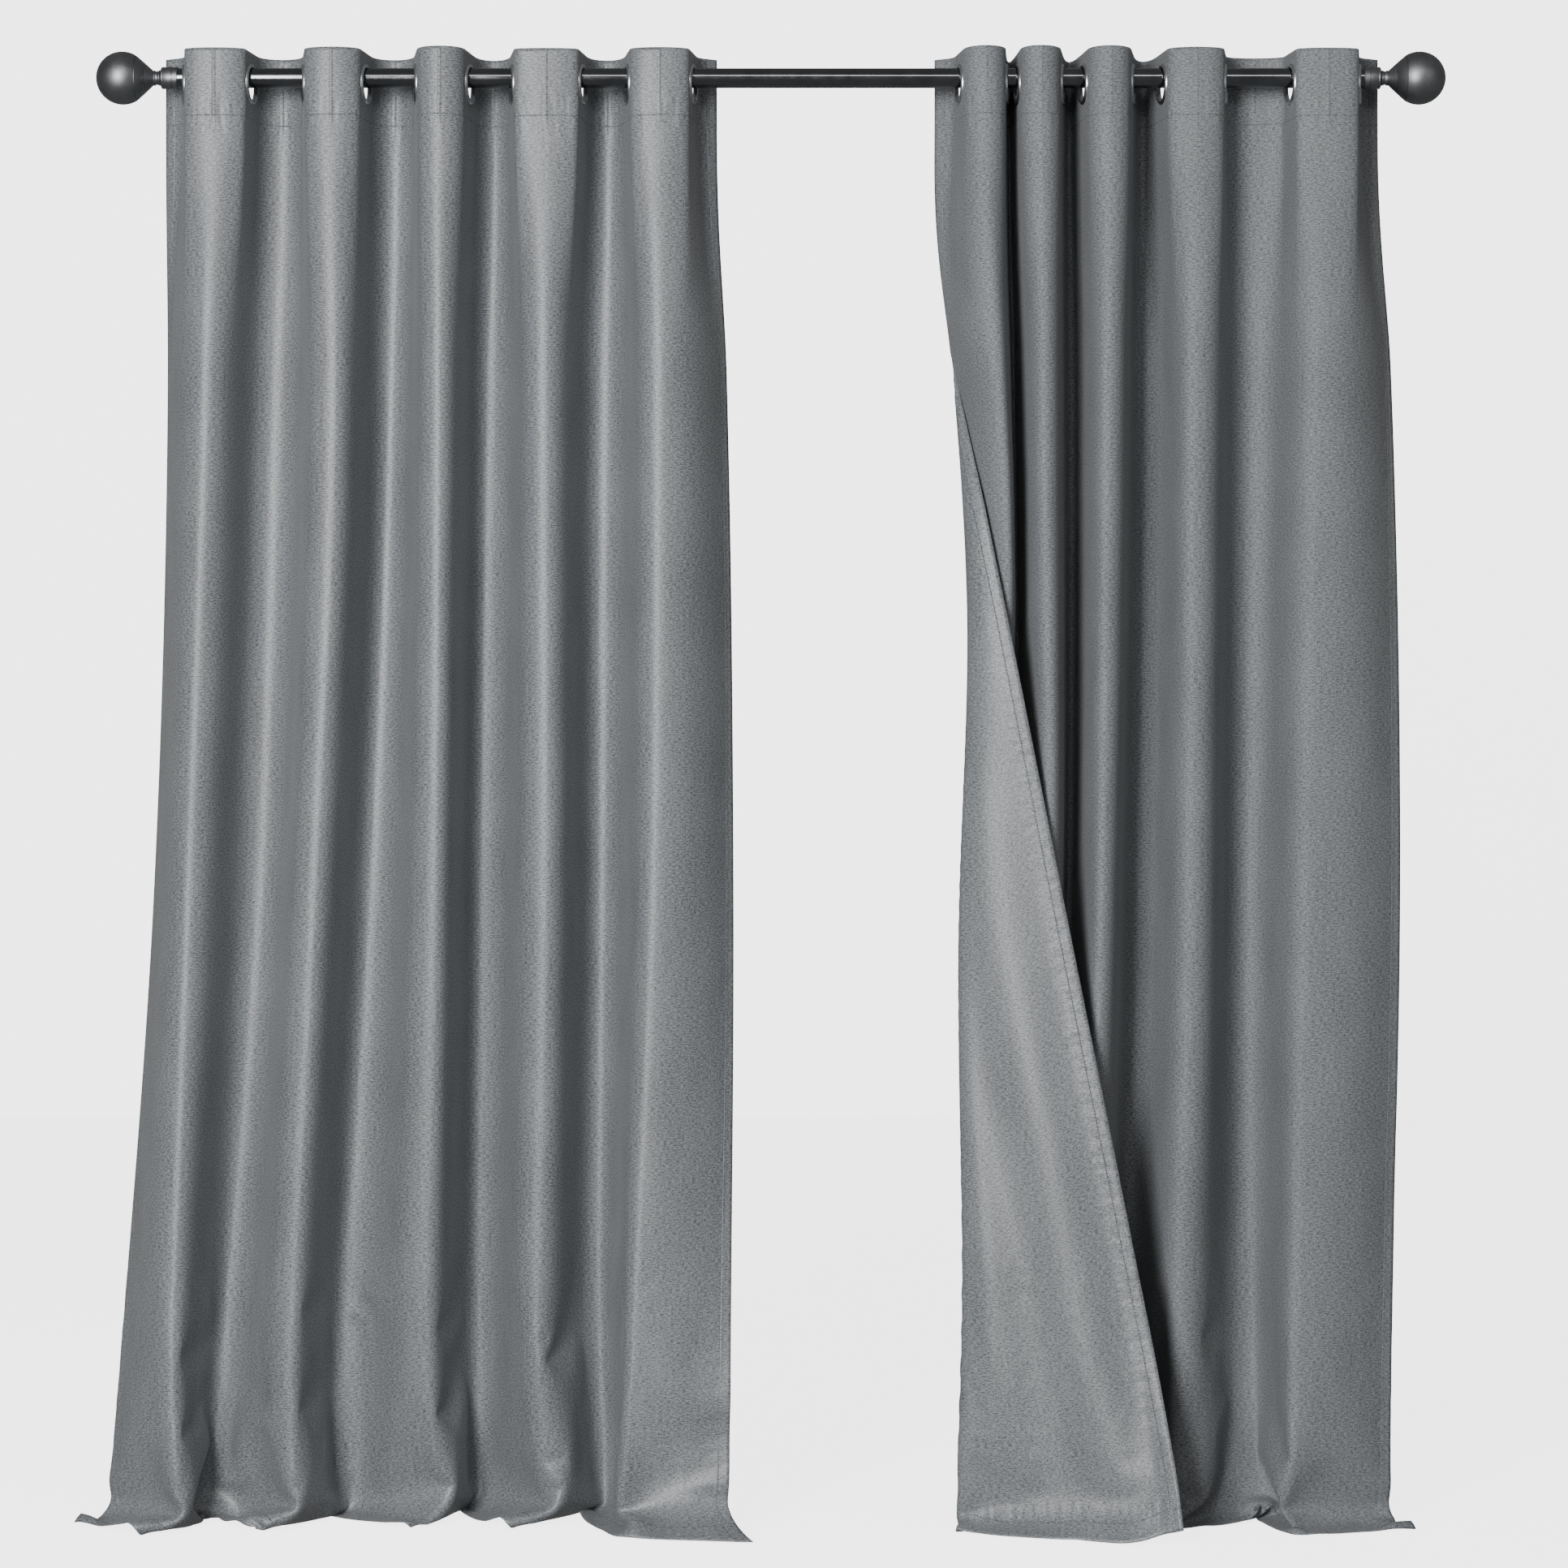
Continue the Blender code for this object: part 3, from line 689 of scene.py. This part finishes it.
class Look:
    """One material: its Principled shader, and the nodes that feed it."""

    def __init__(self, name, **settings):
        self.material = bpy.data.materials.new(name)
        self.material.use_nodes = True
        self.tree = self.material.node_tree
        self.shader = self.tree.nodes["Principled BSDF"]
        for label, value in settings.items():
            self.shader.inputs[label.replace("_", " ")].default_value = value

    def feed(self, socket, value):
        if isinstance(value, Field):
            self.tree.links.new(value.socket, socket)
        else:
            socket.default_value = value

    def node(self, kind, values, **settings):
        made = self.tree.nodes.new("ShaderNode" + kind)
        for name, value in settings.items():
            setattr(made, name, value)
        for name, value in values.items():
            self.feed(made.inputs[name], value)
        return made

    def place(self, *parts):
        return Field(self, self.node("CombineXYZ", dict(zip("XYZ", parts))).outputs[0])

    def noise(self, where, detail=2.0, roughness=0.5):
        """Noise around 0, mostly within 0.5 of it, whose grain is one unit of where."""
        values = {"Vector": where, "Scale": 1.0, "Detail": detail, "Roughness": roughness}
        made = self.node("TexNoise", values)
        return (Field(self, made.outputs[0]) - 0.5) * 2

    def colour(self, share, dark, light):
        made = self.node("Mix", {}, data_type="RGBA")
        self.feed(made.inputs["Factor"], share)
        self.feed(made.inputs[6], (*dark, 1))
        self.feed(made.inputs[7], (*light, 1))
        self.feed(self.shader.inputs["Base Color"], Field(self, made.outputs[2]))

    def relief(self, height):
        """Bumps of that height, in metres."""
        made = self.node("Bump", {"Height": height, "Strength": 1.0, "Distance": 1.0})
        self.feed(self.shader.inputs["Normal"], Field(self, made.outputs[0]))

    def feed_shader(self, name, value):
        self.feed(self.shader.inputs[name], value)


def position(look):
    made = look.node("TexCoord", {})
    split = look.node("SeparateXYZ", {"Vector": Field(look, made.outputs["Object"])})
    return [Field(look, out) for out in split.outputs]


def cut_place(look):
    """Metres across the cloth from its outer edge and down it from its top."""
    made = look.node("UVMap", {}, uv_map="cut")
    split = look.node("SeparateXYZ", {"Vector": Field(look, made.outputs[0])})
    return Field(look, split.outputs[0]), Field(look, split.outputs[1])


def cloth_look(name, dark, light, rough, sheen):
    """Heathered polyester: slubs across and along, and sewn hems that pucker a little."""
    look = Look(name, Sheen_Weight=sheen, Sheen_Roughness=0.45, Specular_IOR_Level=0.55)
    u, v = cut_place(look)
    weft = look.noise(look.place(u / 0.0047, v / 0.0014, 0.0), 3.0, 0.65)
    warp = look.noise(look.place(u / 0.0012, v / 0.0040, 5.0), 3.0, 0.65)
    fleck = look.noise(look.place(u / 0.0018, v / 0.0014, 9.0), 3.0, 0.75)
    cloudy = look.noise(look.place(u / 0.05, v / 0.12, 3.0), 2.0)
    from_side = u.least(PANEL_WIDTH - u)
    from_hem = PANEL_LENGTH - v
    side_seam = from_side.near(SIDE_HEM, 0.0012)
    hem_seam = from_hem.near(BOTTOM_HEM, 0.0012)
    head_seam = v.near(HEADER_DEPTH, 0.0012)
    stitch = (
        side_seam * (v.wrapped(STITCH) / STITCH).near(0.5, 0.45)
        + (hem_seam + head_seam) * (u.wrapped(STITCH) / STITCH).near(0.5, 0.45)
    ).least(1.0)
    gathered = v.near(HEADER_DEPTH, 0.045) + from_hem.near(BOTTOM_HEM, 0.035)
    across_pucker = look.noise(look.place(u / 0.011, v / 0.05, 1.0), 1.0) * gathered
    side_gathered = from_side.near(SIDE_HEM, 0.028)
    side_pucker = look.noise(look.place(u / 0.03, v / 0.014, 2.0), 1.0) * side_gathered
    doubled = (
        from_side.ramp(SIDE_HEM + 0.001, SIDE_HEM - 0.0005)
        + from_hem.ramp(BOTTOM_HEM + 0.001, BOTTOM_HEM - 0.0005)
        + v.ramp(HEADER_DEPTH + 0.001, HEADER_DEPTH - 0.0005)
    ).least(1.0)
    from_eyelet = (u - (EDGE_TO_EYELET + EYELET_PITCH)).wrapped(EYELET_PITCH)
    fold_middle = from_eyelet.near(EYELET_PITCH / 2, 0.003)
    crease = fold_middle * v.ramp(HEADER_DEPTH + 0.02, HEADER_DEPTH - 0.01)
    seams = (side_seam + hem_seam + head_seam).least(1.0)
    grain = weft * 1.2 + warp * 0.5 + fleck * 1.0
    shade = grain + cloudy * 0.14 + stitch * 0.4 - seams * 0.25 + 0.5
    look.colour(shade.ramp(-0.1, 1.1), dark, light)
    look.feed_shader("Roughness", grain * -0.05 + rough)
    look.relief(
        grain * 0.00003 + across_pucker * 0.0013 + side_pucker * 0.0008 + doubled * 0.0006
        + crease * 0.0006 + stitch * 0.0002 - seams * 0.0005
    )
    return look.material


def metal_look(name, dark, light, rough, grain, relief):
    """Metal with fine marks of its finish and a little wear. grain is their length by axis."""
    look = Look(name, Metallic=1.0)
    x, y, z = position(look)
    marks = look.noise(look.place(x / grain[0], y / grain[1], z / grain[2]), 3.0, 0.6)
    smudge = look.noise(look.place(x / 0.02, y / 0.02, z / 0.02), 2.0)
    look.colour((marks * 0.5 + smudge * 0.5 + 0.5).ramp(-0.2, 1.2), dark, light)
    look.feed_shader("Roughness", marks * 0.06 + smudge * 0.06 + rough)
    look.relief(marks * relief)
    return look.material


# ---- Hardware -------------------------------------------------------------------------------


def turned(name, profile, steps, matrix):
    """A profile of (along, radius) points turned round its own X axis, then put in place."""
    mesh = bpy.data.meshes.new(name)
    shape = bmesh.new()
    rings = []
    for along, radius in profile:
        if radius < 1e-6:
            rings.append([shape.verts.new((along, 0, 0))] * steps)
            continue
        rings.append([
            shape.verts.new((along, radius * math.cos(a), radius * math.sin(a)))
            for a in (2 * math.pi * k / steps for k in range(steps))
        ])
    for one, two in zip(rings, rings[1:]):
        for k in range(steps):
            corners = [one[k], one[(k + 1) % steps], two[(k + 1) % steps], two[k]]
            shape.faces.new(list(dict.fromkeys(corners)))
    bmesh.ops.recalc_face_normals(shape, faces=shape.faces)
    shape.to_mesh(mesh)
    shape.free()
    mesh.shade_smooth()
    mesh.set_sharp_from_angle(angle=math.radians(40))
    made = bpy.data.objects.new(name, mesh)
    made.matrix_world = matrix
    bpy.context.scene.collection.objects.link(made)
    return made


def arc(middle, radius, start, end, steps):
    """Points (along, radius) on a circle about a point of the turning axis."""
    angles = np.linspace(start, end, steps)
    return [(middle + radius * math.cos(a), radius * math.sin(a)) for a in angles]


def bead(along, radius, size):
    """A half-round bead on the neck."""
    angles = np.linspace(math.pi, 0, 7)
    return [(along + size * math.cos(a), radius + size * math.sin(a)) for a in angles]


def groove(start, bottom, end, depth):
    """A groove turned round the collar, with one or more places along its bottom."""
    low = [(along, COLLAR_RADIUS - depth) for along in bottom]
    return [(start, COLLAR_RADIUS), *low, (end, COLLAR_RADIUS)]


def finial(side_name, side, finish):
    """Collar, beaded neck, cone and ball, from the collar's inner end outwards."""
    seam_radius = math.sqrt(BALL_RADIUS**2 - (BALL_MIDDLE - BALL_SEAM) ** 2)
    start = math.pi - math.asin(seam_radius / BALL_RADIUS)
    profile = [
        (0.0, ROD_RADIUS), (0.0, COLLAR_RADIUS - COLLAR_CHAMFER), (COLLAR_CHAMFER, COLLAR_RADIUS),
        *groove(0.0060, (0.0064, 0.0072), 0.0076, 0.0006), *groove(0.0168, (0.0172,), 0.0178, 0.0003),
        *COLLAR_END,
        *bead(0.0224, 0.0085, 0.0010), *bead(0.0246, 0.0082, 0.0006),
        (0.0262, NECK_RADIUS), *bead(0.0284, 0.0085, 0.0010), *CONE,
        (BALL_SEAM - 0.0006, seam_radius - 0.0006), (BALL_SEAM - 0.0002, seam_radius - 0.0009),
        (BALL_SEAM + 0.0002, seam_radius - 0.0009),
        *arc(BALL_MIDDLE, BALL_RADIUS, start - 0.02, 0, 40)[:-1], (BALL_MIDDLE + BALL_RADIUS, 0.0),
    ]
    outwards = Matrix.Rotation(0 if side > 0 else math.pi, 4, "Z")
    place = Matrix.Translation((side * COLLAR_TO_MIDDLE, AXIS_Y, 0)) @ outwards
    made = turned("finial_" + side_name, profile, 96, place)
    made.data.materials.append(finish)
    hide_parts("finial_ball_" + side_name, "finial_neck_" + side_name)
    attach(made, "root")


def rod(finish):
    half = ROD_HIGH.x
    profile = [(-half, 0.0), (-half, ROD_RADIUS), (half, ROD_RADIUS), (half, 0.0)]
    made = turned("rod", profile, 96, Matrix.Translation((0, AXIS_Y, 0)))
    made.data.materials.append(finish)
    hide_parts("rod_tube")
    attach(made, "root")


def eyelet(side_name, side, number, head, finish):
    """A pressed ring with a rolled rim, square to the cloth that it holds."""
    profile = [(-h, r) for r, h in RING_RIM] + [(h, r) for r, h in reversed(RING_RIM)]
    middle = ring_middle(side_name, number)
    turn = math.atan2(-head[0] * side, head[1])
    place = Matrix.Translation(middle) @ Matrix.Rotation(turn, 4, "Z")
    made = turned(f"{side_name}_ring_{number:02d}", profile + profile[:1], 64, place)
    made.data.materials.append(finish)
    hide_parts(f"{side_name}_eyelet_{number:02d}")
    carried = {1: "root", EYELETS: side_name + "_leading_eyelet"}
    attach(made, carried.get(number, f"{side_name}_eyelet_{number:02d}_carried"))


def finish_cad_nodes(looks):
    """Brackets, plates, plugs and screws stay as packed, with a finish of their own."""
    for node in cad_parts.values():
        if node.hide_render:
            continue
        kind = "zinc" if "screw" in node.name else "gunmetal"
        node.data.materials.clear()
        node.data.materials.append(looks[kind])
        node.data.polygons.foreach_set("use_smooth", np.ones(len(node.data.polygons), bool))
        node.data.set_sharp_from_angle(angle=math.radians(35))


# ---- Studio ---------------------------------------------------------------------------------


def plain(name, rough):
    """White, and bright enough of itself to look white behind and under the curtains."""
    look = Look(name, Roughness=rough, Base_Color=(0.92, 0.92, 0.92, 1), Emission_Color=(1, 1, 1, 1))
    look.shader.inputs["Emission Strength"].default_value = WHITE_GLOW
    return look.material


def area_light(name, place, target, size, power):
    data = bpy.data.lights.new(name, "AREA")
    data.shape = "RECTANGLE"
    data.size, data.size_y = size
    data.energy = power
    lamp = bpy.data.objects.new(name, data)
    lamp.location = place
    lamp.rotation_euler = (Vector(target) - Vector(place)).to_track_quat("-Z", "Y").to_euler()
    bpy.context.scene.collection.objects.link(lamp)


def grid_plane(name, place, turn, finish):
    mesh = bpy.data.meshes.new(name)
    shape = bmesh.new()
    bmesh.ops.create_grid(shape, x_segments=1, y_segments=1, size=STAGE_SIZE)
    shape.to_mesh(mesh)
    shape.free()
    mesh.materials.append(finish)
    made = bpy.data.objects.new(name, mesh)
    made.location = place
    made.rotation_euler = (turn, 0, 0)
    made.visible_diffuse = made.visible_glossy = False
    bpy.context.scene.collection.objects.link(made)


def studio():
    """A white floor and backdrop, a tall soft light on the left and a weak one on the right."""
    grid_plane("floor", (0, 0, FLOOR_Z - 0.0005), 0, plain("white_floor", 0.7))
    grid_plane("backdrop", (0, BACKDROP_Y, 0), math.pi / 2, plain("white_backdrop", 0.9))
    world = bpy.data.worlds.new("studio")
    world.use_nodes = True
    world.node_tree.nodes["Background"].inputs["Color"].default_value = (1, 1, 1, 1)
    world.node_tree.nodes["Background"].inputs["Strength"].default_value = ROOM_LIGHT
    bpy.context.scene.world = world
    area_light("key", (-1.95, -5.4, 0.05), (0, -0.1, -0.8), (1.4, 2.6), KEY_POWER)
    area_light("fill", (3.6, -3.6, 0.6), (0, -0.1, -0.8), (1.5, 2.5), FILL_POWER)
    area_light("strip", (0, -5.4, 2.1), (0, AXIS_Y, 0), (4.0, 0.8), STRIP_POWER)
    aim_camera()


def aim_camera():
    camera = bpy.data.objects.new("camera", bpy.data.cameras.new("camera"))
    camera.location = CAMERA_PLACE
    camera.rotation_euler = (math.pi / 2, 0, 0)
    camera.data.lens = CAMERA_LENS
    camera.data.sensor_width = CAMERA_SENSOR
    bpy.context.scene.collection.objects.link(camera)
    bpy.context.scene.camera = camera


def main():
    face = cloth_look(
        "grey_cloth_face", (0.042, 0.045, 0.048), (0.258, 0.275, 0.288),
        0.45, 0.08,
    )
    reverse = cloth_look(
        "grey_cloth_reverse", (0.055, 0.059, 0.063), (0.235, 0.249, 0.260),
        0.70, 0.08,
    )
    gunmetal = metal_look(
        "gunmetal_look", (0.12, 0.126, 0.133), (0.19, 0.197, 0.205),
        0.14, (0.012, 0.0006, 0.0006), 0.000003,
    )
    ball = metal_look(
        "gunmetal_ball_look", (0.15, 0.156, 0.163), (0.23, 0.238, 0.247),
        0.46, (0.002, 0.002, 0.002), 0.00001,
    )
    pewter = metal_look(
        "pewter_look", (0.42, 0.43, 0.44), (0.60, 0.61, 0.62),
        0.30, (0.002, 0.002, 0.002), 0.000006,
    )
    zinc = metal_look(
        "zinc_look", (0.40, 0.41, 0.43), (0.56, 0.57, 0.59),
        0.38, (0.001, 0.001, 0.001), 0.00001,
    )
    rod(gunmetal)
    sides = (("left", -1, LEFT_TURNS, body_plan), ("right", 1, RIGHT_TURNS, flap_plan))
    for name, side, turns, plan in sides:
        rings = [abs(ring_middle(name, i + 1).x) for i in range(EYELETS)]
        sheet = panel(name, side, turns, plan)
        sheet.data.materials.append(face)
        sheet.data.materials.append(reverse)
        finial(name, side, ball)
        for i, head in enumerate(ring_heads(rings)):
            eyelet(name, side, i + 1, head, pewter)
    finish_cad_nodes({"gunmetal": gunmetal, "zinc": zinc})


main()
studio()
